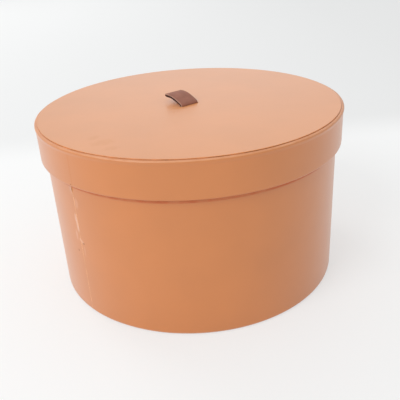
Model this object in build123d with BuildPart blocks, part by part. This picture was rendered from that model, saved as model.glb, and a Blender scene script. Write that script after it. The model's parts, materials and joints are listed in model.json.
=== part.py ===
"""Round covered collar box with a telescoping lid and a leather pull loop.

Millimetres, +Z up, the origin at the centre of the underside. -Y is the front.
The box is made of rolled and flat board, covered in thin tan leather and lined with paper.
Both covers meet in a lap seam at the left of the front. The pull is one strip of
brown leather: its free part stands out of a slot in the lid, folded into a loop,
and its two ends are splayed and pasted under the lid's outer board.
"""

from build123d import *
from math import cos, degrees, radians, sin
import os

os.makedirs("parts", exist_ok=True)

# Overall sizes
rim_diameter = 200.0
box_height = 114.4
lid_band_height = 23.3

# Sheet and board thicknesses
cover_thickness = 0.5
top_cover_thickness = 0.5
base_cover_thickness = 0.4
lining_thickness = 0.25
wall_board_thickness = 2.0
base_board_thickness = 2.0
base_card_thickness = 1.0
band_board_thickness = 1.6
top_board_thickness = 1.8
inner_board_thickness = 1.5

# Fits and clearances
glue_line = 0.05
lid_clearance = 0.5
seat_gap = 0.1
card_clearance = 0.2

# The rim of the lid: a bead of folded cover, with the top sheet set back from it
rim_bead_depth = 0.4
rim_bead_height = 1.4
rim_bead_run = 1.4
top_cover_setback = 1.8
sheet_edge_radius = 0.25

# How far the covers are turned in, and how far short of the edge the linings stop
top_turnover = 12.6
band_turn_in = 9.0
body_turn_in = 12.0
base_turn_under = 14.0
base_cover_margin = 1.8
lining_margin = 3.0
joggle_run = 0.8

# Lap seams: the outer flap is pared to nothing on one side and ends in a cut edge
body_seam_azimuth = -138.0
body_seam_lap = 8.0
body_seam_rise = 0.2
band_seam_azimuth = -134.0
band_seam_lap = 6.0
band_seam_rise = 0.15
seam_bite = 0.15

# Corners of rolled board are crushed round by this share of its thickness
board_edge_share = 0.3

# The pull: a strip folded into a loop that leans over, away from the front
pull_offset = 3.8
pull_heading = 125.0
strap_width = 13.0
strap_thickness = 0.8
loop_gap = 0.2
loop_fold_gap = 0.8
loop_fold_turn = 6.0
loop_root_lift = 0.7
loop_root_heading = 42.0
loop_rise_heading = 20.0
loop_under_heading = 17.0
loop_tip_droop = 6.0
loop_root_radius = 4.0
loop_run = 4.8
loop_crown_radius = 24.3
strap_seat_clearance = 0.2
slot_side_room = 0.5
slot_end_room = 0.6
slot_corner_radius = 0.8
tail_length = 14.0
tail_bend_radius = 0.6
tail_notch_depth = 0.7
patch_thickness = 0.3
patch_overlap = 3.0
window_room = 1.0
window_corner_radius = 2.0

# Heights of the lid's layers, from the top down
top_cover_bottom = box_height - top_cover_thickness
rim_top = top_cover_bottom - glue_line
lid_board_top = rim_top - cover_thickness - glue_line
top_board_bottom = lid_board_top - top_board_thickness
inner_board_top = top_board_bottom - glue_line
inner_board_bottom = inner_board_top - inner_board_thickness
lid_lining_top = inner_board_bottom - glue_line
lid_underside = lid_lining_top - lining_thickness
band_bottom = box_height - lid_band_height
band_board_bottom = band_bottom + cover_thickness + glue_line

# Heights of the body's layers, from the underside up
turn_under_bottom = base_cover_thickness + glue_line
board_bottom = turn_under_bottom + cover_thickness + glue_line
base_board_top = board_bottom + base_board_thickness
base_card_bottom = base_board_top + glue_line
body_top = lid_underside - seat_gap
wall_board_top = body_top - cover_thickness - glue_line

# Radii of the lid's band, from the outside in
rim_radius = rim_diameter / 2
band_radius = rim_radius - rim_bead_depth
band_board_outer = band_radius - cover_thickness - glue_line
band_board_inner = band_board_outer - band_board_thickness
band_turn_in_outer = band_board_inner - glue_line
band_turn_in_inner = band_turn_in_outer - cover_thickness
band_lap_outer = band_turn_in_inner - glue_line
band_lap_inner = band_lap_outer - lining_thickness

# Radii of the body, from the outside in
body_radius = band_lap_inner - lid_clearance
wall_board_outer = body_radius - cover_thickness - glue_line
wall_board_inner = wall_board_outer - wall_board_thickness
wall_turn_in_outer = wall_board_inner - glue_line
wall_turn_in_inner = wall_turn_in_outer - cover_thickness
wall_lap_outer = wall_turn_in_inner - glue_line
wall_lap_inner = wall_lap_outer - lining_thickness

# Rounded edges of the boards, and of the covers that are folded over them
wall_edge_radius = wall_board_thickness * board_edge_share
band_edge_radius = band_board_thickness * board_edge_share
wall_fold_inner = wall_edge_radius + glue_line
wall_fold_outer = wall_fold_inner + cover_thickness
band_fold_inner = band_edge_radius + glue_line
band_fold_outer = band_fold_inner + cover_thickness

# The pull's directions: along the strip, and across it, which is its hinge line
pull_along = (cos(radians(pull_heading)), sin(radians(pull_heading)), 0)
pull_across = (sin(radians(pull_heading)), -cos(radians(pull_heading)), 0)
loop_half_depth = strap_thickness + loop_gap / 2
slot_width = 2 * (loop_half_depth + slot_side_room)
slot_length = strap_width + 2 * slot_end_room
tail_top = top_board_bottom - glue_line
tail_bottom = tail_top - strap_thickness
patch_top = tail_bottom - glue_line


def across_pull(height):
    """A level plane at the pull's slot, with its x direction along the strip."""
    return Plane(origin=(0, -pull_offset, height), x_dir=pull_along, z_dir=(0, 0, 1))


def beside_pull():
    """The upright plane through the slot, along the strip, level with the lid's top."""
    return Plane(origin=(0, -pull_offset, box_height), x_dir=pull_along, z_dir=pull_across)


def heading(angle):
    """The unit direction at an angle above the lid, in the pull's upright plane."""
    return (cos(radians(angle)), sin(radians(angle)))


def loop_inside():
    """Draw the loop's inside: a narrow teardrop that widens from the root to the fold."""
    bend = loop_root_heading - loop_rise_heading
    crown = loop_rise_heading + loop_tip_droop
    half_gap = loop_gap / 2
    root = Vector(0, loop_root_lift)
    rising = Vector(heading(loop_root_heading))
    beside = Vector(heading(loop_root_heading + 90)) * half_gap
    under_bend = loop_root_heading - loop_under_heading
    JernArc(root + beside, -rising, half_gap, 180)
    root_top = JernArc(root + beside, rising, loop_root_radius + half_gap, -bend)
    run_top = Line(root_top @ 1, root_top @ 1 + (root_top % 1) * loop_run)
    crown_top = JernArc(run_top @ 1, run_top % 1, loop_crown_radius + half_gap, -crown)
    fold = JernArc(crown_top @ 1, crown_top % 1, loop_fold_gap / 2, -180 - loop_fold_turn)
    root_low = JernArc(root - beside, rising, loop_root_radius - half_gap, -under_bend)
    guide_end = root_low @ 1 + (root_low % 1) * loop_crown_radius
    guide = Line(root_low @ 1, guide_end, mode=Mode.PRIVATE)
    crown_low = DoubleTangentArc(fold @ 1, fold % 1, guide)
    Line(root_low @ 1, crown_low @ 1)


def seam_flap(radius, rise, lap, azimuth):
    """Draw the plan of a lap's outer flap, feathered on one side and cut on the other."""
    feather = azimuth - degrees(lap / radius)
    middle = (feather + azimuth) / 2
    feather_point = PolarLocations(radius - seam_bite, 1, feather).locations[0].position
    cut_point = PolarLocations(radius + rise, 1, azimuth).locations[0].position
    middle_point = PolarLocations(radius + (rise - seam_bite) / 2, 1, middle).locations[0].position
    inner_point = PolarLocations(radius - seam_bite, 1, azimuth).locations[0].position
    ThreePointArc(feather_point, middle_point, cut_point)
    Line(cut_point, inner_point)
    Line(inner_point, feather_point)


# Rolled board wall of the body, with its edges crushed round
with BuildPart() as body_wall_board:
    with BuildSketch(Plane.XY.offset(board_bottom)):
        Circle(wall_board_outer)
        Circle(wall_board_inner, mode=Mode.SUBTRACT)
    extrude(amount=wall_board_top - board_bottom)
    rims = body_wall_board.edges().group_by(Axis.Z)
    fillet(rims[-1], wall_edge_radius)
    fillet(rims[0].sort_by(SortBy.RADIUS)[-1], wall_edge_radius)
body_wall_board.part.label = "body_wall_board"
export_step(body_wall_board.part, "parts/body_wall_board.step")

# Board disc in the lower end of the wall
with BuildPart() as base_board:
    with BuildSketch(Plane.XY.offset(board_bottom)):
        Circle(wall_board_inner - glue_line)
    extrude(amount=base_board_thickness)
base_board.part.label = "base_board"
export_step(base_board.part, "parts/base_board.step")

# Cover of the body: round the wall, down inside its top edge and in under the base
with BuildPart() as body_wrap:
    under_inner = body_radius - base_turn_under
    turn_in_end = body_top - body_turn_in
    with BuildSketch(Plane.XZ):
        with BuildLine():
            outside = FilletPolyline(
                (under_inner, turn_under_bottom),
                (body_radius, turn_under_bottom),
                (body_radius, body_top),
                (wall_turn_in_inner, body_top),
                (wall_turn_in_inner, turn_in_end),
                radius=[wall_fold_outer, wall_fold_outer, wall_fold_outer],
            )
            inside = FilletPolyline(
                (under_inner, turn_under_bottom + cover_thickness),
                (body_radius - cover_thickness, turn_under_bottom + cover_thickness),
                (body_radius - cover_thickness, body_top - cover_thickness),
                (wall_turn_in_outer, body_top - cover_thickness),
                (wall_turn_in_outer, turn_in_end),
                radius=[wall_fold_inner, wall_fold_inner, wall_fold_inner],
            )
            Line(outside @ 0, inside @ 0)
            Line(outside @ 1, inside @ 1)
        make_face()
    revolve(axis=Axis.Z)
    flap_bottom = turn_under_bottom + wall_fold_outer
    flap_top = body_top - wall_fold_outer
    with BuildSketch(Plane.XY.offset(flap_bottom)):
        with BuildLine():
            seam_flap(body_radius, body_seam_rise, body_seam_lap, body_seam_azimuth)
        make_face()
    extrude(amount=flap_top - flap_bottom)
body_wrap.part.label = "body_wrap"
export_step(body_wrap.part, "parts/body_wrap.step")

# Sheet on the underside: it laps the turned-under edge and is pressed up to the board inside it
with BuildPart() as base_cover:
    sheet_radius = body_radius - base_cover_margin
    press_start = under_inner - glue_line
    press_end = press_start - joggle_run
    press_lift = cover_thickness + glue_line
    with BuildSketch(Plane.XZ):
        with BuildLine():
            Polyline(
                (sheet_radius, 0),
                (press_start, 0),
                (press_end, press_lift),
                (0, press_lift),
                (0, press_lift + base_cover_thickness),
                (press_end, press_lift + base_cover_thickness),
                (press_start, base_cover_thickness),
                (sheet_radius, base_cover_thickness),
                close=True,
            )
        make_face()
    revolve(axis=Axis.Z)
base_cover.part.label = "base_cover"
export_step(base_cover.part, "parts/base_cover.step")

# Lining of the wall: it laps the turned-in edge and is pressed back to the board below it
with BuildPart() as body_lining:
    lap_start = turn_in_end - glue_line
    press_bottom = lap_start - joggle_run
    lining_top = body_top - lining_margin
    with BuildSketch(Plane.XZ):
        with BuildLine():
            Polyline(
                (wall_turn_in_outer, base_card_bottom),
                (wall_turn_in_outer, press_bottom),
                (wall_lap_outer, lap_start),
                (wall_lap_outer, lining_top),
                (wall_lap_inner, lining_top),
                (wall_lap_inner, lap_start),
                (wall_turn_in_outer - lining_thickness, press_bottom),
                (wall_turn_in_outer - lining_thickness, base_card_bottom),
                close=True,
            )
        make_face()
    revolve(axis=Axis.Z)
body_lining.part.label = "body_lining"
export_step(body_lining.part, "parts/body_lining.step")

# Covered card dropped in as the inside bottom
with BuildPart() as base_lining:
    with BuildSketch(Plane.XY.offset(base_card_bottom)):
        Circle(wall_turn_in_outer - lining_thickness - card_clearance)
    extrude(amount=base_card_thickness)
    fillet(base_lining.edges().group_by(Axis.Z)[-1], sheet_edge_radius)
base_lining.part.label = "base_lining"
export_step(base_lining.part, "parts/base_lining.step")

# Rolled board band of the lid, with its edges crushed round
with BuildPart() as lid_band_board:
    with BuildSketch(Plane.XY.offset(band_board_bottom)):
        Circle(band_board_outer)
        Circle(band_board_inner, mode=Mode.SUBTRACT)
    extrude(amount=lid_board_top - band_board_bottom)
    rims = lid_band_board.edges().group_by(Axis.Z)
    fillet(rims[0], band_edge_radius)
    fillet(rims[-1].sort_by(SortBy.RADIUS)[-1], band_edge_radius)
lid_band_board.part.label = "lid_band_board"
export_step(lid_band_board.part, "parts/lid_band_board.step")

# Cover of the band: over the bead of the rim onto the board, and in under the lower edge
with BuildPart() as lid_band_wrap:
    over_inner = rim_radius - top_turnover
    band_turn_in_end = band_bottom + band_turn_in
    bead_bottom = rim_top - rim_bead_height
    with BuildSketch(Plane.XZ):
        with BuildLine():
            outside = FilletPolyline(
                (over_inner, rim_top),
                (rim_radius, rim_top),
                (rim_radius, bead_bottom),
                (band_radius, bead_bottom - rim_bead_run),
                (band_radius, band_bottom),
                (band_turn_in_inner, band_bottom),
                (band_turn_in_inner, band_turn_in_end),
                radius=[band_fold_outer, rim_bead_height, rim_bead_run, band_fold_outer, band_fold_outer],
            )
            inside = FilletPolyline(
                (over_inner, rim_top - cover_thickness),
                (band_radius - cover_thickness, rim_top - cover_thickness),
                (band_radius - cover_thickness, band_bottom + cover_thickness),
                (band_turn_in_outer, band_bottom + cover_thickness),
                (band_turn_in_outer, band_turn_in_end),
                radius=[band_fold_inner, band_fold_inner, band_fold_inner],
            )
            Line(outside @ 0, inside @ 0)
            Line(outside @ 1, inside @ 1)
        make_face()
    revolve(axis=Axis.Z)
    flap_bottom = band_bottom + band_fold_outer
    flap_top = bead_bottom - rim_bead_run
    with BuildSketch(Plane.XY.offset(flap_bottom)):
        with BuildLine():
            seam_flap(band_radius, band_seam_rise, band_seam_lap, band_seam_azimuth)
        make_face()
    extrude(amount=flap_top - flap_bottom)
lid_band_wrap.part.label = "lid_band_wrap"
export_step(lid_band_wrap.part, "parts/lid_band_wrap.step")

# Outer board disc of the lid, set in the band, with the slot for the pull
with BuildPart() as lid_top_board:
    with BuildSketch(Plane.XY.offset(top_board_bottom)):
        Circle(band_board_inner - glue_line)
    extrude(amount=top_board_thickness)
    with BuildSketch(across_pull(top_board_bottom)):
        RectangleRounded(slot_width, slot_length, slot_corner_radius)
    extrude(amount=top_board_thickness, mode=Mode.SUBTRACT)
lid_top_board.part.label = "lid_top_board"
export_step(lid_top_board.part, "parts/lid_top_board.step")

# Thin card that levels the top inside the turned-over cover
with BuildPart() as lid_infill:
    infill_bottom = lid_board_top + glue_line
    with BuildSketch(Plane.XY.offset(infill_bottom)):
        Circle(over_inner - card_clearance)
    extrude(amount=cover_thickness)
    with BuildSketch(across_pull(infill_bottom)):
        RectangleRounded(slot_width, slot_length, slot_corner_radius)
    extrude(amount=cover_thickness, mode=Mode.SUBTRACT)
lid_infill.part.label = "lid_infill"
export_step(lid_infill.part, "parts/lid_infill.step")

# Top sheet of the lid, set back from the rim, with the slot for the pull
with BuildPart() as lid_top_cover:
    with BuildSketch(Plane.XY.offset(top_cover_bottom)):
        Circle(rim_radius - top_cover_setback)
    extrude(amount=top_cover_thickness)
    with BuildSketch(across_pull(top_cover_bottom)):
        RectangleRounded(slot_width, slot_length, slot_corner_radius)
    extrude(amount=top_cover_thickness, mode=Mode.SUBTRACT)
    top_edges = lid_top_cover.edges().filter_by(GeomType.CIRCLE).group_by(Axis.Z)[-1]
    fillet(top_edges.sort_by(SortBy.RADIUS)[-1], sheet_edge_radius)
lid_top_cover.part.label = "lid_top_cover"
export_step(lid_top_cover.part, "parts/lid_top_cover.step")

# Inner board disc of the lid, with a window for the ends of the pull and their patch
with BuildPart() as lid_inner_board:
    patch_reach = tail_length + patch_overlap
    with BuildSketch(Plane.XY.offset(inner_board_bottom)):
        Circle(band_board_inner - glue_line)
    extrude(amount=inner_board_thickness)
    with BuildSketch(across_pull(inner_board_bottom)):
        RectangleRounded(
            2 * (patch_reach + window_room), strap_width + 2 * window_room, window_corner_radius
        )
    extrude(amount=inner_board_thickness, mode=Mode.SUBTRACT)
lid_inner_board.part.label = "lid_inner_board"
export_step(lid_inner_board.part, "parts/lid_inner_board.step")

# Lining of the band: it laps the turned-in edge and is pressed back to the board above it
with BuildPart() as lid_band_lining:
    band_lap_end = band_turn_in_end + glue_line
    press_top = band_lap_end + joggle_run
    with BuildSketch(Plane.XZ):
        with BuildLine():
            Polyline(
                (band_lap_outer, band_bottom + lining_margin),
                (band_lap_outer, band_lap_end),
                (band_turn_in_outer, press_top),
                (band_turn_in_outer, lid_lining_top),
                (band_turn_in_outer - lining_thickness, lid_lining_top),
                (band_turn_in_outer - lining_thickness, press_top),
                (band_lap_inner, band_lap_end),
                (band_lap_inner, band_bottom + lining_margin),
                close=True,
            )
        make_face()
    revolve(axis=Axis.Z)
lid_band_lining.part.label = "lid_band_lining"
export_step(lid_band_lining.part, "parts/lid_band_lining.step")

# Lining disc under the lid, over the inner board, the window and the ends of the pull
with BuildPart() as lid_lining:
    with BuildSketch(Plane.XY.offset(lid_underside)):
        Circle(band_turn_in_outer - lining_thickness - card_clearance)
    extrude(amount=lining_thickness)
lid_lining.part.label = "lid_lining"
export_step(lid_lining.part, "parts/lid_lining.step")

# Free part of the pull: two layers, folded at the far end, and rounded at the root,
# where the strip bends in its slot
with BuildPart() as pull_loop:
    with BuildSketch(beside_pull()):
        with BuildLine() as inside_line:
            loop_inside()
        make_face()
        offset(amount=strap_thickness)
        make_face(inside_line.edges(), mode=Mode.SUBTRACT)
    extrude(amount=strap_width / 2, both=True)
pull_loop.part.label = "pull_loop"
export_step(pull_loop.part, "parts/pull_loop.step")

# Ends of the pull: side by side through the slot, then splayed under the outer board
with BuildPart() as strap_tails:
    tail_top_level = tail_top - box_height
    tail_bottom_level = tail_bottom - box_height
    with BuildSketch(beside_pull()) as tails:
        with BuildLine():
            Polyline(
                (-strap_thickness, loop_root_lift),
                (-strap_thickness, tail_top_level),
                (-tail_length, tail_top_level),
                (-tail_length, tail_bottom_level),
                (-tail_notch_depth, tail_bottom_level),
                (0, tail_bottom_level + tail_notch_depth),
                (tail_notch_depth, tail_bottom_level),
                (tail_length, tail_bottom_level),
                (tail_length, tail_top_level),
                (strap_thickness, tail_top_level),
                (strap_thickness, loop_root_lift),
                close=True,
            )
        make_face()
        bends = tails.vertices().group_by(Axis.Y)[-2]
        fillet(bends.sort_by_distance((0, tail_top_level))[:2], tail_bend_radius)
        with Locations((0, loop_root_lift)):
            Circle(loop_half_depth + strap_seat_clearance, mode=Mode.SUBTRACT)
    extrude(amount=strap_width / 2, both=True)
strap_tails.part.label = "strap_tails"
export_step(strap_tails.part, "parts/strap_tails.step")

# Paper strip pasted over the ends, pressed up to the board beyond them
with BuildPart() as strap_patch:
    lap_level = patch_top - box_height
    board_level = tail_top - box_height
    patch_flat = tail_length + glue_line
    patch_press = patch_flat + joggle_run
    with BuildSketch(beside_pull()):
        with BuildLine():
            Polyline(
                (-patch_reach, board_level),
                (-patch_press, board_level),
                (-patch_flat, lap_level),
                (patch_flat, lap_level),
                (patch_press, board_level),
                (patch_reach, board_level),
                (patch_reach, board_level - patch_thickness),
                (patch_press, board_level - patch_thickness),
                (patch_flat, lap_level - patch_thickness),
                (-patch_flat, lap_level - patch_thickness),
                (-patch_press, board_level - patch_thickness),
                (-patch_reach, board_level - patch_thickness),
                close=True,
            )
        make_face()
    extrude(amount=strap_width / 2, both=True)
strap_patch.part.label = "strap_patch"
export_step(strap_patch.part, "parts/strap_patch.step")
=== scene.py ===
"""Round collar box: a covered board box with a telescoping lid and a leather pull.

The covers and the pull are modelled here, each in place of its CAD node, with the small
unevenness of handwork. The boards, linings, patch and underside keep their CAD shapes and
get their materials. Lengths are in metres, +Z is up, and -Y is the front of the box.
"""

import json
import math

import bmesh
import bpy
from bpy.props import FloatProperty, FloatVectorProperty, PointerProperty
from bpy.types import NodeSocket, Operator, Panel, PropertyGroup
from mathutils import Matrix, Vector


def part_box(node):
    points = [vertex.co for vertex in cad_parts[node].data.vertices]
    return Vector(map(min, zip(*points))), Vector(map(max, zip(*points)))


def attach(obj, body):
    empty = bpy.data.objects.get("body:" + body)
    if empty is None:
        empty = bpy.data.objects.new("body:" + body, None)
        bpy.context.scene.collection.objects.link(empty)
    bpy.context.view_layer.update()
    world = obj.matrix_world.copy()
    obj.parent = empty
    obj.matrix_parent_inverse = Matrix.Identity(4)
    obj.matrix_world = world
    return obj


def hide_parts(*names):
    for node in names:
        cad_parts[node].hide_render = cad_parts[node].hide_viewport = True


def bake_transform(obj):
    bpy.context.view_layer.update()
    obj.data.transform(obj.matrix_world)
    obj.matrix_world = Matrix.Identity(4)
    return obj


bl_info = {
    "name": "Collar box",
    "version": (1, 0, 0),
    "blender": (4, 5, 0),
    "location": "3D View > Sidebar > Collar box",
    "description": "A round covered box with a lift-off lid and a leather pull",
    "category": "Object",
}

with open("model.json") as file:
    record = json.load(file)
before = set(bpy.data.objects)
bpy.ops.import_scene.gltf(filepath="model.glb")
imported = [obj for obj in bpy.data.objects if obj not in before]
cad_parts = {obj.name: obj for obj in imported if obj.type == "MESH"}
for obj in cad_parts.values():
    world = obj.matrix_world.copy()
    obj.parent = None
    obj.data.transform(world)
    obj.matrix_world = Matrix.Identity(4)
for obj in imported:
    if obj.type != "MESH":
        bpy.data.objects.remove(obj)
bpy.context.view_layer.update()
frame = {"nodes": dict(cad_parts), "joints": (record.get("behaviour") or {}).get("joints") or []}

MM = 0.001
AXIS = (0, 0, 0)
GLUE = 0.05 * MM
SAME_PLACE = 0.001 * MM
MERGE = 0.002 * MM

# Faces round a hoop, and steps across an outer fold, the fold on the rim and a small radius
SEGMENTS = 256
FOLD_STEPS = 5
RIM_STEPS = 6
FINE_STEPS = 3

# Angles round the box, in degrees: the seams, a flap's cut edge, and the flap's lip behind it
WALL_SEAM = -138.0
BAND_SEAM = -134.0
CUT_EDGE = 0.07
FLAP_LIP = 0.45

# Shares of a colour that are left in a spot of dirt, and in the painted shade along the lid's lip
DIRT = 0.35
LIP_PAINTED_SHADE = (0.85, 0.32, 0.16)

sheet_low, sheet_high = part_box("lid_top_cover")
band_low, band_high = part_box("lid_band_wrap")
wall_low, wall_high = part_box("body_wrap")
wall_board_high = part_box("body_wall_board")[1]
pull_joint = next(j for j in frame["joints"] if j["name"] == "pull_lift")
slot_x, slot_y = pull_joint["pos_m"][:2]
slot_turn = math.atan2(pull_joint["axis"][1], pull_joint["axis"][0])


def from_hex(code):
    """Turn an sRGB hex colour into the linear colour that Blender works in."""
    parts = [int(code[i:i + 2], 16) / 255 for i in (1, 3, 5)]
    return tuple(c / 12.92 if c <= 0.04045 else ((c + 0.055) / 1.055) ** 2.4 for c in parts)


def colour(label, about, code):
    """Declare a colour that a user may change."""
    return FloatVectorProperty(
        name=label, description=about, default=from_hex(code), subtype="COLOR", min=0, max=1
    )


def length(label, about, size):
    """Declare a length that a user may change."""
    return FloatProperty(
        name=label, description=about, default=size, unit="LENGTH", precision=5, min=0
    )


class CollarBoxSizes(PropertyGroup):
    """Sizes of the covers and the pull; what the CAD frame fixes is read from it."""

    cover: length("Cover", "Thickness of the covers", 0.5 * MM)
    rim_radius: length("Rim radius", "Radius of the bead round the lid", band_high.x)
    bead_depth: length("Bead depth", "How far the bead stands out of the band", 0.4 * MM)
    bead_height: length("Bead height", "Height of the straight part of the bead", 1.4 * MM)
    turnover: length("Turnover", "How far the band's cover reaches over the top", 12.6 * MM)
    band_inside: length("Band inside", "Radius of the cover turned into the band", 96.9 * MM)
    band_turn_in: length("Band turn-in", "Depth of the cover inside the band", 9.0 * MM)
    band_fold: length("Band fold", "Outer radius of the folds on the band", 1.03 * MM)
    band_lap: length("Band lap", "How far the band cover's ends overlap", 6.0 * MM)
    wall_inside: length("Wall inside", "Radius of the cover turned into the wall", 93.0 * MM)
    wall_turn_in: length("Wall turn-in", "Depth of the cover inside the wall", 12.0 * MM)
    turn_under: length("Turn-under", "How far the cover reaches under the base", 14.0 * MM)
    wall_fold: length("Wall fold", "Outer radius of the folds on the wall", 1.15 * MM)
    wall_lap: length("Wall lap", "How far the wall cover's ends overlap", 8.0 * MM)
    sheet_edge: length("Sheet edge", "Radius on the top sheet's edge", 0.25 * MM)
    strap_width: length("Strap width", "Width of the pull", 13.0 * MM)
    strap: length("Strap thickness", "Thickness of the pull's leather", 0.8 * MM)
    slot_length: length("Slot length", "Length of the slot for the pull", 14.2 * MM)
    slot_width: length("Slot width", "Width of the slot for the pull", 2.8 * MM)
    slot_corner: length("Slot corner", "Radius on the corners of the slot", 0.8 * MM)


class CollarBoxColours(PropertyGroup):
    """Colours of the materials before light falls on them."""

    tan: colour("Tan leather", "Face of the covers", "#CB7B3D")
    # The same leather as the covers, set paler as painted light: the top catches more light
    tan_top_lit: colour("Tan top", "Face of the top sheet", "#DA8B49")
    tan_core: colour("Cut edge", "Cut edge of the top sheet, with paste and dirt in it", "#BE7448")
    # Raw fibre is pale, and this colour is paler still as painted light on the shaded cut edge
    tan_raw_lit: colour("Raw edge", "Clean fibre at the cut edge of the wall's seam", "#F2C296")
    tan_worn: colour("Worn tan", "Finish rubbed off the cover", "#E8C4B2")
    # Paler than the face: rubbing wear, and a painted highlight where the bead catches the light
    tan_rim_highlight: colour("Rubbed rim", "Bead of the lid, rubbed warm and pale", "#F2BD98")
    brown: colour("Brown leather", "Face of the pull", "#99624F")
    brown_flesh: colour("Brown flesh side", "Inside of the loop", "#3E231C")
    # The top layer's cut edges are set pale as a painted highlight, the edges under the loop dark
    # as painted shade
    brown_edge_lit: colour("Brown edge", "Cut edges of the pull, rubbed pale on the crown", "#B08E80")
    brown_under_shaded: colour("Under edge", "Cut edges under the loop, dyed and dusty", "#451C12")
    board: colour("Grey board", "Bare board", "#A79F90")
    lining: colour("Lining", "Paper that lines the box", "#F0E8DA")
    patch: colour("Patch", "Paper over the ends of the pull", "#BF9C72")
    floor: colour("Floor", "Pale floor and backdrop", "#F6F7F7")


def deselect():
    """Leave edit mode and deselect every object."""
    if bpy.context.object and bpy.context.object.mode != "OBJECT":
        bpy.ops.object.mode_set(mode="OBJECT")
    bpy.ops.object.select_all(action="DESELECT")


def begin(name):
    """Name the primitive just added, move its place into its mesh and open it for editing."""
    piece = bpy.context.object
    piece.name = name
    piece.data.name = name
    bpy.ops.object.transform_apply(location=True, rotation=True, scale=True)
    bpy.ops.object.mode_set(mode="EDIT")
    return piece


def reopen(piece):
    """Open a piece for editing again, with all of it selected."""
    deselect()
    piece.select_set(True)
    bpy.context.view_layer.objects.active = piece
    bpy.ops.object.mode_set(mode="EDIT")
    bpy.ops.mesh.select_all(action="SELECT")


def apply_modifiers(piece):
    """Apply the modifiers of a piece, in their order."""
    bpy.context.view_layer.objects.active = piece
    for name in [modifier.name for modifier in piece.modifiers]:
        bpy.ops.object.modifier_apply(modifier=name)


def pick(piece, wanted, kind="EDGE"):
    """Select the edges, faces or vertices whose every corner passes the test."""
    bpy.ops.mesh.select_mode(type=kind)
    bpy.ops.mesh.select_all(action="DESELECT")
    shape = bmesh.from_edit_mesh(piece.data)
    if kind == "VERT":
        chosen = [v for v in shape.verts if wanted(v.co)]
    else:
        groups = shape.edges if kind == "EDGE" else shape.faces
        chosen = [g for g in groups if all(wanted(v.co) for v in g.verts)]
    for element in chosen:
        element.select_set(True)
    shape.select_flush_mode()
    bmesh.update_edit_mesh(piece.data)
    return len(chosen)


def radius_of(place):
    """Distance from the axis of the box."""
    return math.hypot(place.x, place.y)


def azimuth_of(place):
    """Angle round the box in degrees, from +X, between -180 and 180."""
    return math.degrees(math.atan2(place.y, place.x))


def place_on(radius, azimuth, height):
    """The point on an upright cylinder round the axis, at an angle in degrees."""
    turn = math.radians(azimuth)
    return (radius * math.cos(turn), radius * math.sin(turn), height)


def level_rings(radius, start, end, count):
    """Points of an outline from one height to another, for rings of faces of even height."""
    return [(radius, start + (end - start) * step / count) for step in range(count + 1)]


def raise_hoop(name, outline):
    """Raise a closed hoop of sheet ring by ring, from a circle; outline holds radii and heights."""
    deselect()
    radius, height = outline[0]
    bpy.ops.mesh.primitive_circle_add(vertices=SEGMENTS, radius=radius, location=(0, 0, height))
    hoop = begin(name)
    bpy.ops.mesh.select_mode(type="EDGE")
    bpy.ops.mesh.select_all(action="SELECT")
    for next_radius, next_height in outline[1:] + outline[:1]:
        rise = (0, 0, next_height - height)
        bpy.ops.mesh.extrude_edges_move(TRANSFORM_OT_translate={"value": rise})
        share = next_radius / radius
        bpy.ops.transform.resize(value=(share, share, 1), center_override=AXIS)
        radius, height = next_radius, next_height
    bpy.ops.mesh.select_all(action="SELECT")
    bpy.ops.mesh.remove_doubles(threshold=0.01 * MM)
    bpy.ops.mesh.normals_make_consistent(inside=False)
    return hoop


def round_rings(hoop, rings, offset, steps):
    """Bevel rings of edges, each given by its radius and height."""
    near = 0.005 * MM
    for radius, height in rings:
        found = pick(
            hoop, lambda p: abs(radius_of(p) - radius) < near and abs(p.z - height) < near
        )
        if not found:
            raise RuntimeError(f"{hoop.name} has no ring at {radius:.5f}, {height:.5f}")
        bpy.ops.mesh.bevel(offset_type="OFFSET", offset=offset, segments=steps, affect="EDGES")


def push_out(hoop, skin, azimuth, low, high, lift):
    """Lift the hoop's skin along one upright line of points, between two heights."""
    same_angle, skin_depth = 0.01, 0.1 * MM
    found = pick(
        hoop,
        lambda p: abs(azimuth_of(p) - azimuth) < same_angle
        and radius_of(p) > skin - skin_depth
        and low < p.z < high,
        "VERT",
    )
    if found:
        scale = 1 + lift / skin
        bpy.ops.transform.resize(value=(scale, scale, 1), center_override=AXIS)


def lay_seam(hoop, skin, azimuth, lap, rise, low, high, curl=()):
    """Lift the outer flap of a lap seam: cuts make its edge, and it fades out behind it.

    curl holds stretches of the edge, as two heights, and how far the flap's corner stands up.
    """
    reach, lip_share = 12, 0.7
    for cut in (azimuth - FLAP_LIP, azimuth, azimuth + CUT_EDGE):
        turn = math.radians(cut)
        pick(hoop, lambda p: abs(azimuth_of(p) - azimuth) < reach and p.x < 0, "FACE")
        across = (-math.sin(turn), math.cos(turn), 0)
        bpy.ops.mesh.bisect(plane_co=AXIS, plane_no=across, threshold=SAME_PLACE)
    fade = math.degrees(lap / skin)
    shape = bmesh.from_edit_mesh(hoop.data)
    lines = {round(azimuth_of(v.co), 3) for v in shape.verts if v.co.x < 0 and v.co.y < 0}
    for line in sorted(lines):
        share = (line - azimuth + fade) / fade
        if 0 < share < 1.001:
            push_out(hoop, skin, line, low, high, share * rise)
    for start, end, lift in curl:
        push_out(hoop, skin, azimuth - FLAP_LIP, start, end, lip_share * lift)
        push_out(hoop, skin, azimuth, start, end, lift)


def face_seam_edge(hoop, skin, azimuth, index):
    """Give the cut edge of the seam's flap its own material."""
    middle, reach, depth = azimuth + CUT_EDGE / 2, CUT_EDGE / 2 - 0.001, 0.2 * MM
    for face in hoop.data.polygons:
        place = face.center
        if abs(azimuth_of(place) - middle) < reach and radius_of(place) > skin - depth:
            face.material_index = index


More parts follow.
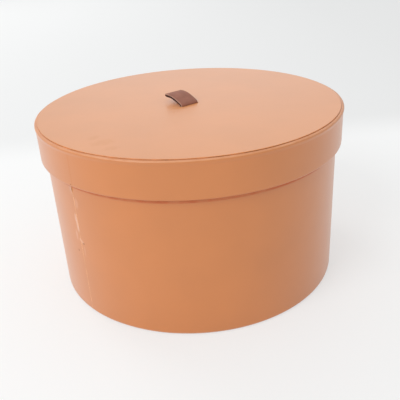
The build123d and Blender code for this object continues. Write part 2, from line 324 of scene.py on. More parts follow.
def finish(piece, angle=22):
    """Close the edit, point the faces outwards and shade the piece smooth up to an angle."""
    bpy.ops.mesh.select_mode(type="VERT")
    bpy.ops.mesh.select_all(action="SELECT")
    bpy.ops.mesh.remove_doubles(threshold=MERGE)
    bpy.ops.mesh.normals_make_consistent(inside=False)
    bpy.ops.object.mode_set(mode="OBJECT")
    bpy.ops.object.shade_smooth_by_angle(angle=math.radians(angle))


def unevenness(piece, amount, span):
    """Move the surface about by a little, smoothly, as hand-laid sheet and board lie."""
    texture = bpy.data.textures.new(piece.name + "_unevenness", "CLOUDS")
    texture.noise_scale = span
    texture.noise_depth = 1
    texture.cloud_type = "COLOR"
    modifier = piece.modifiers.new("unevenness", "DISPLACE")
    modifier.texture = texture
    modifier.texture_coords = "LOCAL"
    modifier.direction = "RGB_TO_XYZ"
    modifier.space = "LOCAL"
    modifier.strength = amount
    modifier.mid_level = 0.5
    apply_modifiers(piece)


def feed(tree, node, inputs):
    """Give each input of a node a value, or the socket that feeds it."""
    for name, value in inputs.items():
        if isinstance(value, NodeSocket):
            tree.links.new(value, node.inputs[name])
        else:
            node.inputs[name].default_value = value


def add_node(tree, kind, inputs=None, **settings):
    """Add a node with its settings, and feed its inputs."""
    made = tree.nodes.new(kind)
    for name, value in settings.items():
        setattr(made, name, value)
    feed(tree, made, inputs or {})
    return made


def begin_material(name):
    """Make a material; give it back with its nodes, its shader and the piece's coordinates."""
    material = bpy.data.materials.new(name)
    material.use_nodes = True
    tree = material.node_tree
    place = add_node(tree, "ShaderNodeTexCoord").outputs["Object"]
    return material, tree, tree.nodes["Principled BSDF"], place


def opaque(tone):
    """A colour with full alpha."""
    return (*tone, 1)


def darker(tone, *shares):
    """A colour times a share, or times a share for each of red, green and blue."""
    if len(shares) == 1:
        shares = 3 * shares
    return tuple(share * part for share, part in zip(shares, tone))


def mottle(tree, place, tone, span, detail, spread, shades):
    """Cloud a colour with noise of a span; a smaller spread leaves less between its two shades."""
    cloud = add_node(
        tree, "ShaderNodeTexNoise", {"Vector": place, "Scale": 1 / span, "Detail": detail}
    )
    shade = add_node(
        tree,
        "ShaderNodeMapRange",
        {
            "Value": cloud.outputs["Fac"],
            "From Min": 0.5 - spread,
            "From Max": 0.5 + spread,
            "To Min": shades[0],
            "To Max": shades[1],
        },
    )
    tint = add_node(
        tree, "ShaderNodeVectorMath", {0: tone, "Scale": shade.outputs["Result"]}, operation="SCALE"
    )
    return tint.outputs["Vector"]


def lay_over(tree, surface, coated, amount, tone):
    """Put a tone over the surface by an amount, and take the clear coat off there."""
    mixed = add_node(
        tree, "ShaderNodeMix", {0: amount, 6: surface, 7: opaque(tone)}, data_type="RGBA"
    )
    left = add_node(tree, "ShaderNodeMath", {0: 1.0, 1: amount}, operation="SUBTRACT")
    if coated:
        left = add_node(
            tree, "ShaderNodeMath", {0: coated, 1: left.outputs["Value"]}, operation="MULTIPLY"
        )
    return mixed.outputs[2], left.outputs["Value"]


def lay_marks(tree, place, surface, coated, marks, worn):
    """Lay spots and streaks over the surface, each strongest in its middle and ragged."""
    broken = add_node(
        tree, "ShaderNodeTexNoise", {"Vector": place, "Scale": 1 / (2.5 * MM), "Detail": 3.0}
    )
    for centre, size, turn, strength, tone in marks:
        spot_place = add_node(
            tree,
            "ShaderNodeMapping",
            {"Vector": place, "Location": centre, "Rotation": (0, 0, turn), "Scale": size},
            vector_type="TEXTURE",
        )
        spot = add_node(
            tree,
            "ShaderNodeTexGradient",
            {"Vector": spot_place.outputs["Vector"]},
            gradient_type="SPHERICAL",
        )
        ragged = add_node(
            tree,
            "ShaderNodeMath",
            {0: spot.outputs["Fac"], 1: broken.outputs["Fac"]},
            operation="MULTIPLY",
        )
        amount = add_node(
            tree,
            "ShaderNodeMapRange",
            {
                "Value": ragged.outputs["Value"],
                "From Min": 0.08,
                "From Max": 0.3,
                "To Max": strength,
            },
        )
        surface, coated = lay_over(tree, surface, coated, amount.outputs["Result"], tone or worn)
    return surface, coated


def lay_bands(tree, place, surface, coated, bands, worn):
    """Lay level bands over the surface, in patches some 8 mm long: wear, painted shade and painted
    highlight.
    """
    height = add_node(tree, "ShaderNodeSeparateXYZ", {0: place}).outputs["Z"]
    patches = add_node(
        tree, "ShaderNodeTexNoise", {"Vector": place, "Scale": 1 / (8 * MM), "Detail": 4.0}
    )
    patchy = add_node(
        tree,
        "ShaderNodeMapRange",
        {"Value": patches.outputs["Fac"], "From Min": 0.3, "From Max": 0.6, "To Min": 0.35},
    )
    for level, reach, strength, tone in bands:
        offset = add_node(tree, "ShaderNodeMath", {0: height, 1: level}, operation="SUBTRACT")
        away = add_node(tree, "ShaderNodeMath", {0: offset.outputs["Value"]}, operation="ABSOLUTE")
        near = add_node(
            tree,
            "ShaderNodeMapRange",
            {
                "Value": away.outputs["Value"],
                "From Min": reach,
                "From Max": reach / 2,
                "To Max": strength,
            },
        )
        amount = add_node(
            tree,
            "ShaderNodeMath",
            {0: near.outputs["Result"], 1: patchy.outputs["Result"]},
            operation="MULTIPLY",
        )
        surface, coated = lay_over(tree, surface, coated, amount.outputs["Value"], tone or worn)
    return surface, coated


def pressed_grain(tree, place):
    """Grain pressed into leather on board that isn't quite flat: its pores and its normal."""
    # Grain pressed at about 0.6 mm, drawn at 1.1 mm so that a close view can show it
    grain = add_node(
        tree,
        "ShaderNodeTexVoronoi",
        {"Vector": place, "Scale": 1 / (1.1 * MM), "Smoothness": 0.6},
        feature="SMOOTH_F1",
    )
    pores = add_node(
        tree, "ShaderNodeTexNoise", {"Vector": place, "Scale": 1 / (0.5 * MM), "Detail": 2.0}
    )
    relief = add_node(
        tree,
        "ShaderNodeMath",
        {0: grain.outputs["Distance"], 1: pores.outputs["Fac"]},
        operation="ADD",
    )
    fine = add_node(
        tree,
        "ShaderNodeBump",
        {"Height": relief.outputs["Value"], "Strength": 0.18, "Distance": 0.05 * MM},
    )

    # Board is a little flat in places, some 25 mm wide and, on a wall, in upright stripes
    stripe_place = add_node(tree, "ShaderNodeMapping", {"Vector": place, "Scale": (1, 1, 0.12)})
    stripes = add_node(
        tree,
        "ShaderNodeTexNoise",
        {"Vector": stripe_place.outputs["Vector"], "Scale": 1 / (25 * MM), "Detail": 1.0},
    )
    broad = add_node(
        tree,
        "ShaderNodeBump",
        {
            "Height": stripes.outputs["Fac"],
            "Normal": fine.outputs["Normal"],
            "Strength": 0.3,
            "Distance": 0.5 * MM,
        },
    )
    return pores.outputs["Fac"], broad.outputs["Normal"]


def bonded_leather(name, face, worn, marks=(), rubbed=()):
    """Bonded leather, pressed and satin finished: an even, warm face with a soft sheen.

    marks holds spots and streaks, wear and dirt as well as painted highlight: centre, size, turn
    about Z, strength and colour. rubbed holds level bands of wear, painted shade and painted
    highlight: height, half width, strength and colour. A colour of none stands for the worn one,
    which is paler and duller than the face.
    """
    material, tree, shader, place = begin_material(name)

    # Faint clouding of the dye, some 35 mm across
    surface = mottle(tree, place, face, span=35 * MM, detail=3.0, spread=0.2, shades=(0.965, 1.03))
    coated = None
    if marks:
        surface, coated = lay_marks(tree, place, surface, coated, marks, worn)
    if rubbed:
        surface, coated = lay_bands(tree, place, surface, coated, rubbed, worn)
    pores, normal = pressed_grain(tree, place)

    # The clear finish over the dye gives a pale, soft sheen at a glance, and wear takes it off
    coat, worn_roughness = 0.8, 0.85
    rough = add_node(
        tree, "ShaderNodeMapRange", {"Value": pores, "To Min": 0.36, "To Max": 0.46}
    ).outputs["Result"]
    if coated:
        rough = add_node(
            tree, "ShaderNodeMix", {0: coated, 2: worn_roughness, 3: rough}
        ).outputs[0]
        coat = add_node(
            tree, "ShaderNodeMath", {0: coated, 1: coat}, operation="MULTIPLY"
        ).outputs["Value"]
    feed(tree, shader, {"Base Color": surface, "Roughness": rough, "Normal": normal, "IOR": 1.5})
    feed(tree, shader, {"Coat Weight": coat, "Coat Roughness": 0.32, "Coat IOR": 1.5})
    return material


def cut_leather(name, core):
    """The raw cut edge of a cover: matt and fibrous, so that its line looks a little broken."""
    material, tree, shader, place = begin_material(name)
    surface = mottle(tree, place, core, span=6 * MM, detail=4.0, spread=0.15, shades=(0.7, 1.3))
    feed(tree, shader, {"Base Color": surface, "Roughness": 0.8})
    return material


def strap_leather(name, face, rough, relief):
    """Bridle leather, dyed brown: waxed and satin on its face, drier on its back and edges.

    relief says how far the hair pores, which break up the shine, stand out.
    """
    material, tree, shader, place = begin_material(name)
    surface = mottle(tree, place, face, span=5 * MM, detail=4.0, spread=0.2, shades=(0.86, 1.12))
    # Hair pores are about 0.3 mm apart, drawn at 0.6 mm to show in a close view
    pores = add_node(
        tree,
        "ShaderNodeTexVoronoi",
        {"Vector": place, "Scale": 1 / (0.6 * MM), "Smoothness": 0.4},
        feature="SMOOTH_F1",
    )
    bump = add_node(
        tree,
        "ShaderNodeBump",
        {"Height": pores.outputs["Distance"], "Strength": relief, "Distance": 0.06 * MM},
    )
    looks = {"Base Color": surface, "Roughness": rough, "Normal": bump.outputs["Normal"]}
    feed(tree, shader, looks)
    return material


def paper(name, face, fleck, fibre, rough):
    """Paper or board, pressed from pulp: matt, with soft fibres and flecks a share as bright."""
    material, tree, shader, place = begin_material(name)
    pulp = add_node(
        tree, "ShaderNodeTexNoise", {"Vector": place, "Scale": 1 / fibre, "Detail": 5.0}
    )
    flecks = add_node(
        tree,
        "ShaderNodeMapRange",
        {"Value": pulp.outputs["Fac"], "From Min": 0.55, "From Max": 0.75, "To Max": 0.6},
    )
    mixed = add_node(
        tree,
        "ShaderNodeMix",
        {0: flecks.outputs["Result"], 6: opaque(face), 7: opaque(darker(face, fleck))},
        data_type="RGBA",
    )
    bump = add_node(
        tree,
        "ShaderNodeBump",
        {"Height": pulp.outputs["Fac"], "Strength": 0.2, "Distance": 0.05 * MM},
    )
    looks = {"Base Color": mixed.outputs[2], "Roughness": rough, "Normal": bump.outputs["Normal"]}
    feed(tree, shader, looks)
    return material


def seamless_paper(name, face):
    """Matt backdrop paper, lit well enough to look white; it keeps part of the box's shadow."""
    material, tree, shader, place = begin_material(name)
    feed(tree, shader, {"Base Color": opaque(face), "Roughness": 0.9, "Specular IOR Level": 0.1})

    # The paper is flat; beyond the box its glow is dimmer, most at the right, as painted shade of a
    # backdrop that falls out of the light
    near_tone, lit_share = 1.03, 0.55
    along = add_node(tree, "ShaderNodeSeparateXYZ", {0: place})
    far_painted_shade = add_node(
        tree,
        "ShaderNodeMapRange",
        {
            "Value": along.outputs["X"],
            "From Min": -0.35,
            "From Max": 0.4,
            "To Min": 0.9,
            "To Max": 0.79,
        },
    )
    behind = add_node(
        tree,
        "ShaderNodeMapRange",
        {"Value": along.outputs["Y"], "From Min": 0.2, "From Max": 0.3},
        interpolation_type="SMOOTHSTEP",
    )
    tone = add_node(
        tree,
        "ShaderNodeMix",
        {0: behind.outputs["Result"], 2: near_tone, 3: far_painted_shade.outputs["Result"]},
    )
    glow = add_node(
        tree, "ShaderNodeEmission", {"Color": opaque(face), "Strength": tone.outputs[0]}
    )

    # Only the camera and reflections see the glow; the rest of the light is the paper's own
    ray = add_node(tree, "ShaderNodeLightPath")
    seen = add_node(
        tree,
        "ShaderNodeMath",
        {0: ray.outputs["Is Camera Ray"], 1: ray.outputs["Is Glossy Ray"]},
        operation="MAXIMUM",
    )
    share = add_node(
        tree, "ShaderNodeMath", {0: seen.outputs["Value"], 1: lit_share}, operation="MULTIPLY"
    )
    mixed = add_node(
        tree,
        "ShaderNodeMixShader",
        {0: share.outputs["Value"], 1: shader.outputs["BSDF"], 2: glow.outputs["Emission"]},
    )
    feed(tree, tree.nodes["Material Output"], {"Surface": mixed.outputs["Shader"]})
    return material


def marks_on(skin, spots):
    """Place upright spots on a cylinder: azimuth, height, width, length, strength, colour."""
    return [
        (place_on(skin, azimuth, height * MM), (wide * MM, wide * MM, tall * MM), 0, strength, tone)
        for azimuth, height, wide, tall, strength, tone in spots
    ]


class COLLARBOX_OT_wall_cover(Operator):
    """Cover of the wall, folded in over the top and under the base, lapped at its seam"""

    bl_idname = "collarbox.wall_cover"
    bl_label = "Wall cover"

    def execute(self, context):
        s = context.scene.collarbox_sizes
        c = context.scene.collarbox_colours
        skin = wall_board_high.x + GLUE + s.cover
        low, top, inside = wall_low.z, wall_high.z, s.wall_inside
        under = skin - s.turn_under
        turn_in_end = top - s.wall_turn_in
        inner = [
            (skin - s.cover, low + s.cover),
            (skin - s.cover, top - s.cover),
            (inside + s.cover, top - s.cover),
        ]
        outline = [
            (under, low),
            *level_rings(skin, low, top, count=48),
            (inside, top),
            (inside, turn_in_end),
            (inside + s.cover, turn_in_end),
            *reversed(inner),
            (under, low + s.cover),
        ]
        cover = raise_hoop("wall_cover", outline)
        round_rings(cover, [(skin, low), (skin, top), (inside, top)], s.wall_fold, FOLD_STEPS)
        round_rings(cover, inner, s.wall_fold - s.cover, FINE_STEPS)

        # The flap's corner has come unstuck just below the lid's lip, and curls out
        lip = band_low.z
        curl = (
            (lip - 8.5 * MM, lip - 5 * MM, 0.15 * MM),
            (lip - 5 * MM, lip - 0.5 * MM, 0.5 * MM),
        )
        lay_seam(
            cover, skin, WALL_SEAM, s.wall_lap, rise=0.05 * MM,
            low=low + s.wall_fold, high=top - s.wall_fold, curl=curl,
        )
        finish(cover)
        unevenness(cover, amount=0.12 * MM, span=30 * MM)

        # Streaks and spots beside the seam, downwards; then a painted highlight on the curl, which
        # stands out of the wall, and a broad, faint one between
        dark = darker(c.tan, DIRT)
        streaks = (
            (-138.9, 67.5, 1.5, 5.0, 0.5, None),
            (-138.5, 63.5, 1.6, 5.0, 0.5, None),
            (-138.3, 60.0, 1.4, 4.0, 0.45, None),
            (-140.1, 55.0, 1.5, 5.5, 0.4, None),
            (-138.2, 53.0, 1.2, 1.5, 0.45, None),
            (-137.4, 52.1, 1.2, 1.5, 0.45, None),
            (-136.8, 51.5, 0.9, 1.2, 0.4, None),
            (-136.4, 51.0, 0.8, 1.0, 0.7, dark),
            (-136.5, 46.0, 1.2, 6.0, 0.2, None),
            (-140.6, 44.0, 0.9, 1.2, 0.5, dark),
        )
        marks = marks_on(skin, streaks)
        marks += marks_on(skin + 0.4 * MM, [(-138.5, 87.0, 1.2, 4.0, 0.3, None)])
        marks += marks_on(skin, [(-136.8, 78.0, 2.4, 5.0, 0.2, None)])

        # The foot is rubbed pale, and a dark band on the wall under the lid's lip is painted shade
        lip_painted_shade = darker(c.tan, *LIP_PAINTED_SHADE)
        rubbed = [(low, 1.6 * MM, 0.15, None), (lip - 2.0 * MM, 1.2 * MM, 0.55, lip_painted_shade)]
        cover.data.materials.append(
            bonded_leather("bonded_leather_wall", c.tan, c.tan_worn, marks, rubbed)
        )
        # The seam's cut edge is paler than raw fibre, as painted light in its shade
        cover.data.materials.append(cut_leather("cut_edge_wall_lit", c.tan_raw_lit))
        face_seam_edge(cover, skin, WALL_SEAM, index=1)
        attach(cover, "body")
        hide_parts("body_wrap")
        return {"FINISHED"}


class COLLARBOX_OT_band_cover(Operator):
    """Cover of the lid's band, folded over the rim into a bead and in under the lower edge"""

    bl_idname = "collarbox.band_cover"
    bl_label = "Band cover"

    def execute(self, context):
        s = context.scene.collarbox_sizes
        c = context.scene.collarbox_colours
        skin = s.rim_radius - s.bead_depth
        low, top, inside = band_low.z, band_high.z, s.band_inside
        turn_in_end = low + s.band_turn_in
        over = s.rim_radius - s.turnover
        bead_low = top - s.bead_height
        bead_end = bead_low - s.bead_height
        inner = [
            (skin - s.cover, top - s.cover),
            (skin - s.cover, low + s.cover),
            (inside + s.cover, low + s.cover),
        ]
        outline = [
            (over, top),
            (s.rim_radius, top),
            (s.rim_radius, bead_low),
            *level_rings(skin, bead_end, low, count=10),
            (inside, low),
            (inside, turn_in_end),
            (inside + s.cover, turn_in_end),
            *reversed(inner),
            (over, top - s.cover),
        ]
        cover = raise_hoop("band_cover", outline)
        slope = math.atan2(s.bead_depth, s.bead_height)
        ease = s.bead_height * math.tan(slope / 2)
        round_rings(cover, [(s.rim_radius, top)], s.band_fold, RIM_STEPS)
        round_rings(cover, [(s.rim_radius, bead_low), (skin, bead_end)], ease, FINE_STEPS)
        round_rings(cover, [(skin, low), (inside, low)], s.band_fold, FOLD_STEPS)
        round_rings(cover, inner, s.band_fold - s.cover, FINE_STEPS)
        lay_seam(
            cover, skin, BAND_SEAM, s.band_lap, rise=0.025 * MM,
            low=low + s.band_fold, high=bead_end,
        )
        finish(cover)
        unevenness(cover, amount=0.14 * MM, span=16 * MM)
        marks = marks_on(skin, [(-134.8, 92.6, 0.8, 0.7, 0.6, darker(c.tan, DIRT))])

        # The bead is rubbed pale, with a painted highlight; the lower edge has painted shade
        rubbed = [
            (top - 0.15 * MM, 0.46 * MM, 0.4, c.tan_rim_highlight),
            (low - 0.1 * MM, 0.8 * MM, 0.4, darker(c.tan, *LIP_PAINTED_SHADE)),
        ]
        cover.data.materials.append(
            bonded_leather("bonded_leather_band", c.tan, c.tan_worn, marks, rubbed)
        )
        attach(cover, "lid")
        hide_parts("lid_band_wrap")
        return {"FINISHED"}


class COLLARBOX_OT_top_sheet(Operator):
    """Top sheet of the lid, set back from the rim, with the slot for the pull cut through it"""

    bl_idname = "collarbox.top_sheet"
    bl_label = "Top sheet"

    def execute(self, context):
        s = context.scene.collarbox_sizes
        c = context.scene.collarbox_colours
        radius, low, top = sheet_high.x, sheet_low.z, sheet_high.z
        deselect()
        bpy.ops.mesh.primitive_circle_add(
            vertices=SEGMENTS, radius=radius, location=(0, 0, low), fill_type="NGON"
        )
        sheet = begin("top_sheet")
        bpy.ops.mesh.select_all(action="SELECT")
        bpy.ops.mesh.extrude_region_move(TRANSFORM_OT_translate={"value": (0, 0, top - low)})
        bpy.ops.mesh.select_all(action="SELECT")
        bpy.ops.mesh.normals_make_consistent(inside=False)
        round_rings(sheet, [(radius, top)], s.sheet_edge, FINE_STEPS)

        # Rings of faces inside the edge, closest at the edge, keep the shading of the face even
        pick(sheet, lambda p: abs(p.z - top) < SAME_PLACE, "FACE")
        for width in (0.6, 2.4, 7, 10):
            bpy.ops.mesh.inset(thickness=width * MM, use_boundary=True)
        bpy.ops.object.mode_set(mode="OBJECT")
        cutter = self.slot_cutter(s, low, top)
        cut = sheet.modifiers.new("slot", "BOOLEAN")
        cut.object = cutter
        cut.operation = "DIFFERENCE"
        cut.solver = "EXACT"
        apply_modifiers(sheet)
        bpy.data.objects.remove(cutter)
        reopen(sheet)
        finish(sheet, angle=30)

        # Faint stains near the front left edge
        stain = darker(c.tan_top_lit, 0.6)
        marks = [
            ((-50 * MM, -66 * MM, top), (10 * MM, 7 * MM, 5 * MM), 0.4, 0.09, stain),
            ((-56 * MM, -57 * MM, top), (6 * MM, 4 * MM, 4 * MM), 0.9, 0.07, stain),
            ((-44 * MM, -76 * MM, top), (7 * MM, 4 * MM, 4 * MM), 0.2, 0.07, stain),
        ]
        # The top's paler tan is painted light on the same leather as the band
        sheet.data.materials.append(
            bonded_leather("bonded_leather_top_lit", c.tan_top_lit, c.tan_worn, marks)
        )
        sheet.data.materials.append(cut_leather("cut_edge", c.tan_core))
        for face in sheet.data.polygons:
            if abs(face.normal.z) < 0.3:
                face.material_index = 1
        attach(sheet, "lid")
        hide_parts("lid_top_cover")
        return {"FINISHED"}

    def slot_cutter(self, s, low, top):
        """Make the block that cuts the slot, with its upright corners rounded."""
        deselect()
        bpy.ops.mesh.primitive_cube_add(size=1)
        cutter = begin("slot_cutter")
        bpy.ops.mesh.select_all(action="SELECT")
        tall = (top - low) + 2 * MM
        bpy.ops.transform.resize(value=(s.slot_length, s.slot_width, tall), center_override=AXIS)
        bpy.ops.mesh.select_mode(type="EDGE")
        shape = bmesh.from_edit_mesh(cutter.data)
        for edge in shape.edges:
            edge.select_set(abs(edge.verts[0].co.z - edge.verts[1].co.z) > tall / 2)
        bmesh.update_edit_mesh(cutter.data)
        bpy.ops.mesh.bevel(offset=s.slot_corner, segments=4, affect="EDGES")
        bpy.ops.object.mode_set(mode="OBJECT")
        cutter.rotation_euler.z = slot_turn
        cutter.location = (slot_x, slot_y, (low + top) / 2)
        bpy.ops.object.transform_apply(location=True, rotation=True, scale=True)
        return cutter


# The pull's strip, from one pasted end to the other, seen from its edge with the slot in the
# middle and the lid's top as height nought. A run is a length in mm. A bend is a radius in mm
# and a turn in degrees, left turns positive.
STRIP_START = (-14.0, -3.35)
FIRST_RUN = 12.268
STRIP_PATH = (
    (1.0, 90), (2.53,), (1.2, -48), (4.5, -22), (4.8,), (24.8, -26.804),
    (0.42, -148.032), (5.0, -30.719), (16.968, 22.555), (6.619,), (3.5, 25),
    (0.65, 48), (2.195,), (1.0, 90), (12.88,),
)


def run_on(spot, way, run):
    """Extrude the strip's open end straight on, and say where it has come to."""
    turn = math.radians(way)
    shift = (run * math.cos(turn), 0, run * math.sin(turn))
    bpy.ops.mesh.extrude_edges_move(TRANSFORM_OT_translate={"value": shift})
    return spot[0] + shift[0], spot[1] + shift[2]


def bend_on(spot, way, radius, bend):
    """Spin the strip's open end round a bend, and say where it has come to."""
    widest_step, longest_step = 9, 0.9 * MM
    reach = math.copysign(radius, bend)
    turn = math.radians(way)
    middle = (spot[0] - reach * math.sin(turn), spot[1] + reach * math.cos(turn))
    arc = abs(math.radians(bend)) * radius
    bpy.ops.mesh.spin(
        steps=max(4, round(abs(bend) / widest_step), round(arc / longest_step)),
        angle=math.radians(bend),
        center=(middle[0], 0, middle[1]),
        axis=(0, 1, 0),
    )
    turn = math.radians(way + bend)
    return middle[0] + reach * math.sin(turn), middle[1] - reach * math.cos(turn)


class COLLARBOX_OT_pull(Operator):
    """The pull: one strip of leather through the slot, folded back over itself into a loop"""

    bl_idname = "collarbox.pull"
    bl_label = "Leather pull"

    def execute(self, context):
        s = context.scene.collarbox_sizes
        lid_top = sheet_high.z
        strap = self.lay_strip(s.strap_width)
        self.colour_strip(strap, context.scene.collarbox_colours)
        self.thicken(strap, s.strap)
        strap.rotation_euler.z = slot_turn + math.radians(90)
        strap.location = (slot_x, slot_y, lid_top)
        bpy.ops.object.transform_apply(location=True, rotation=True, scale=True)
        ends = self.part_ends(strap, lid_top - 2.0 * MM)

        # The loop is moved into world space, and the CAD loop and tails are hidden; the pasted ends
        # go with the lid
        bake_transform(strap)
        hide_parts("pull_loop")
        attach(ends, "lid")
        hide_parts("strap_tails")
        return {"FINISHED"}

    def lay_strip(self, width):
        """Lay the middle of the strip along its path, as a sheet with no thickness."""
        start, height, run = STRIP_START[0] * MM, STRIP_START[1] * MM, FIRST_RUN * MM
        deselect()
        bpy.ops.mesh.primitive_grid_add(x_subdivisions=1, y_subdivisions=8, size=1)
        strap = begin("pull_strap")
        bpy.ops.mesh.select_all(action="SELECT")
        bpy.ops.transform.resize(value=(run, width, 1), center_override=AXIS)
        bpy.ops.transform.translate(value=(start + run / 2, 0, height))
        spot, way = (start + run, height), 0.0
        pick(strap, lambda p: abs(p.x - spot[0]) < SAME_PLACE)
        for move in STRIP_PATH:
            if len(move) == 1:
                spot = run_on(spot, way, move[0] * MM)
            else:
                radius, bend = move
                spot = bend_on(spot, way, radius * MM, bend)
                way += bend
        bpy.ops.mesh.select_all(action="SELECT")
        bpy.ops.mesh.remove_doubles(threshold=MERGE)
        bpy.ops.mesh.normals_make_consistent(inside=False)
        crown = max(bmesh.from_edit_mesh(strap.data).faces, key=lambda f: f.calc_center_median().z)
        if crown.normal.z < 0:
            bpy.ops.mesh.flip_normals()
        bpy.ops.object.mode_set(mode="OBJECT")
        bpy.ops.object.shade_smooth_by_angle(angle=math.radians(40))
        return strap

    def colour_strip(self, strap, c):
        """Give the strip its materials: face, back and edge, and the same for its underpart."""
        grain = strap_leather("strap_face", c.brown, rough=0.68, relief=0.35)
        flesh = strap_leather("strap_flesh_side", c.brown_flesh, rough=0.85, relief=0.7)
        lit_edge = strap_leather("strap_cut_edge_lit", c.brown_edge_lit, rough=0.5, relief=0.5)
        shaded_edge = strap_leather("strap_under_edge_shaded", c.brown_under_shaded, rough=0.8, relief=0.6)
        # The pale edge is a painted highlight and the dark edge under the loop is painted shade
        for material in (grain, flesh, lit_edge, grain, flesh, shaded_edge):
            strap.data.materials.append(material)
        for face in strap.data.polygons:
            if face.normal.z < -0.1 and face.center.z > 0.2 * MM:
                face.material_index = 3

    def thicken(self, strap, thickness):
        """Thicken the strip, whose back and edge take the next two materials, and soften it."""
        sheet = strap.modifiers.new("thickness", "SOLIDIFY")
        sheet.thickness = thickness
        sheet.offset = 0
        sheet.use_even_offset = True
        sheet.material_offset = 1
        sheet.material_offset_rim = 2
        edge = strap.modifiers.new("edges", "BEVEL")
        edge.width = 0.2 * MM
        edge.segments = 2
        edge.limit_method = "ANGLE"
        edge.angle_limit = math.radians(60)
        apply_modifiers(strap)

    def part_ends(self, strap, level):
        """Part the strip's pasted ends from its loop, inside the slot, and close both."""
        reopen(strap)
        bpy.ops.mesh.bisect(plane_co=(0, 0, level), plane_no=(0, 0, 1), threshold=SAME_PLACE)
        pick(strap, lambda p: p.z < level + MERGE, "FACE")
        bpy.ops.mesh.separate(type="SELECTED")
        bpy.ops.object.mode_set(mode="OBJECT")
        ends = next(o for o in bpy.context.selected_objects if o != strap)
        ends.name = ends.data.name = "strap_ends"
        for piece in (strap, ends):
            reopen(piece)
            bpy.ops.mesh.fill_holes(sides=0)
            finish(piece, angle=40)
        return ends


class COLLARBOX_OT_inner_parts(Operator):
    """Materials of the boards, linings, patch and underside, which keep their CAD shapes"""

    bl_idname = "collarbox.inner_parts"
    bl_label = "Boards and linings"

    def execute(self, context):
        c = context.scene.collarbox_colours
        grey = paper("grey_board", c.board, fleck=0.55, fibre=0.9 * MM, rough=0.9)
        cream = paper("lining_paper", c.lining, fleck=0.85, fibre=0.7 * MM, rough=0.75)
        kraft = paper("kraft_patch", c.patch, fleck=0.7, fibre=0.8 * MM, rough=0.8)
        under = bonded_leather("bonded_leather_base", c.tan, c.tan_worn)
        finishes = {
            grey: ("body_wall_board", "base_board", "lid_band_board", "lid_top_board",
                   "lid_inner_board", "lid_infill"),
            cream: ("body_lining", "base_lining", "lid_band_lining", "lid_lining"),
            kraft: ("strap_patch",),
            under: ("base_cover",),
        }
        for material, nodes in finishes.items():
            for node in nodes:
                for slot in frame["nodes"][node].material_slots:
                    slot.material = material
        return {"FINISHED"}


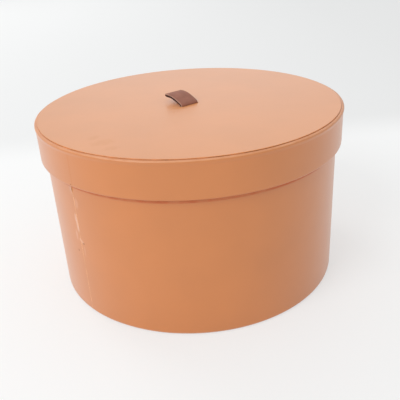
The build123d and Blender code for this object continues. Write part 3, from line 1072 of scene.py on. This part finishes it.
class COLLARBOX_OT_stage(Operator):
    """Pale floor, soft lights and the camera at the photograph's viewing angle"""

    bl_idname = "collarbox.stage"
    bl_label = "Stage"

    def execute(self, context):
        deselect()
        bpy.ops.mesh.primitive_circle_add(vertices=96, radius=6, location=AXIS, fill_type="NGON")
        floor = begin("floor")
        bpy.ops.object.mode_set(mode="OBJECT")
        tone = context.scene.collarbox_colours.floor
        floor.data.materials.append(seamless_paper("seamless_paper", tone))
        self.light_room(context.scene)
        self.hang_lamps(context.scene)
        self.set_camera(context.scene)
        context.scene.view_settings.view_transform = "Standard"
        return {"FINISHED"}

    def light_room(self, scene):
        """Light the room evenly, with white walls that look brighter than the light they give."""
        world = bpy.data.worlds.new("studio")
        scene.world = world
        world.use_nodes = True
        tree = world.node_tree
        ray = add_node(tree, "ShaderNodeLightPath")
        strength = add_node(
            tree,
            "ShaderNodeMapRange",
            {"Value": ray.outputs["Is Camera Ray"], "To Min": 0.68, "To Max": 0.96},
        ).outputs["Result"]
        feed(tree, tree.nodes["Background"], {"Color": opaque((1, 1, 1)), "Strength": strength})

    def hang_lamps(self, scene):
        """Hang round lamps that face the middle of the box; only the side lamp isn't reflected."""
        middle = 0.06
        lamps = (
            ("key", (-1.45, -1.3, 1.5), 1.4, 24.0),
            ("side", (-1.3, 1.6, 1.3), 1.2, 12.0),
            ("back", (0.1, 2.4, 1.4), 2.4, 5.5),
        )
        for name, place, across, watts in lamps:
            light = bpy.data.lights.new(name, "AREA")
            light.shape = "DISK"
            light.size = across
            light.energy = watts
            lamp = bpy.data.objects.new(name, light)
            scene.collection.objects.link(lamp)
            lamp.location = place
            aim = lamp.location.copy()
            aim.z -= middle
            lamp.rotation_euler = aim.to_track_quat("Z", "Y").to_euler()
            lamp.visible_camera = False
            lamp.visible_glossy = name != "side"

    def set_camera(self, scene):
        """Set the camera where the outline of the box is the photograph's."""
        lens = bpy.data.cameras.new("camera")
        lens.sensor_width = 36
        lens.lens = 49.234
        camera = bpy.data.objects.new("camera", lens)
        scene.collection.objects.link(camera)
        camera.location = (-0.004526, -0.353609, 0.217559)
        camera.rotation_euler = [math.radians(angle) for angle in (63.558, 3.176, -2.872)]
        scene.camera = camera


class COLLARBOX_PT_panel(Panel):
    """Lists the pieces of the collar box and its sizes and colours"""

    bl_idname = "COLLARBOX_PT_panel"
    bl_label = "Collar box"
    bl_space_type = "VIEW_3D"
    bl_region_type = "UI"
    bl_category = "Collar box"

    def draw(self, context):
        for step in STEPS:
            self.layout.operator(step.bl_idname)
        for group in (context.scene.collarbox_sizes, context.scene.collarbox_colours):
            for name in group.__annotations__:
                self.layout.prop(group, name)


STEPS = (
    COLLARBOX_OT_wall_cover,
    COLLARBOX_OT_band_cover,
    COLLARBOX_OT_top_sheet,
    COLLARBOX_OT_pull,
    COLLARBOX_OT_inner_parts,
    COLLARBOX_OT_stage,
)
CLASSES = (CollarBoxSizes, CollarBoxColours, *STEPS, COLLARBOX_PT_panel)


def register():
    """Register the classes and put the sizes and colours on the scene."""
    for cls in CLASSES:
        bpy.utils.register_class(cls)
    bpy.types.Scene.collarbox_sizes = PointerProperty(type=CollarBoxSizes)
    bpy.types.Scene.collarbox_colours = PointerProperty(type=CollarBoxColours)


def unregister():
    """Take the sizes and colours off the scene and unregister the classes."""
    del bpy.types.Scene.collarbox_colours
    del bpy.types.Scene.collarbox_sizes
    for cls in reversed(CLASSES):
        bpy.utils.unregister_class(cls)


def main():
    """Build every piece in order."""
    register()
    bpy.ops.collarbox.wall_cover()
    bpy.ops.collarbox.band_cover()
    bpy.ops.collarbox.top_sheet()
    bpy.ops.collarbox.pull()
    bpy.ops.collarbox.inner_parts()
    bpy.ops.collarbox.stage()


if __name__ == "__main__":
    main()
